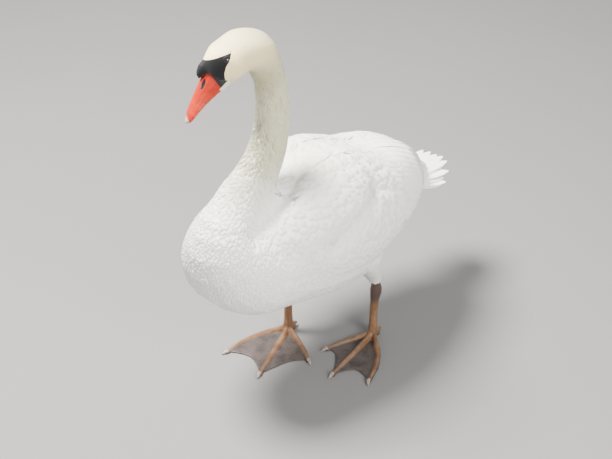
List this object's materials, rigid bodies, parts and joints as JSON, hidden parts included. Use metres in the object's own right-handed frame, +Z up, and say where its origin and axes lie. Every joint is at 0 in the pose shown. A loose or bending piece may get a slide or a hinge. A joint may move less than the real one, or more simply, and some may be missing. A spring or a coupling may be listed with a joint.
{
  "type": "mute swan figure",
  "caption": "Life-size mute swan standing still, neck in an S, head turned to its right and bill down, on broad webbed feet.",
  "frame": {"origin": "on the floor under the middle of the bird's box", "axes": "+Z up; the bird faces -Y and its left side is +X"},
  "size_m": [0.292, 0.669, 0.7377],
  "materials": {
    "white_plumage": "soft white feathers",
    "cream_plumage": "short cream feathers",
    "orange_bill": "smooth horn, satin",
    "pale_nail": "horn, satin",
    "black_mask": "bare skin, matt",
    "dark_eye": "wet gloss",
    "tan_leg": "scaled skin, matt",
    "tan_web": "thin wrinkled skin, matt",
    "pale_claw": "horn, satin"
  },
  "bodies": {
    "root": {"bill_lower": "orange_bill", "bill_nail": "pale_nail", "bill_upper": "orange_bill", "claw_inner_left": "pale_claw", "claw_inner_right": "pale_claw", "claw_middle_left": "pale_claw", "claw_middle_right": "pale_claw", "claw_outer_left": "pale_claw", "claw_outer_right": "pale_claw", "eye_left": "dark_eye", "eye_right": "dark_eye", "foot_left": "tan_web", "foot_right": "tan_web", "head": "cream_plumage", "leg_left": "tan_leg", "leg_right": "tan_leg", "mask": "black_mask", "neck_base": "cream_plumage", "neck_middle": "cream_plumage", "neck_top": "cream_plumage", "tail": "white_plumage", "thigh_left": "white_plumage", "thigh_right": "white_plumage", "trunk": "white_plumage", "wing_left": "white_plumage", "wing_right": "white_plumage"}
  },
  "joints": []
}
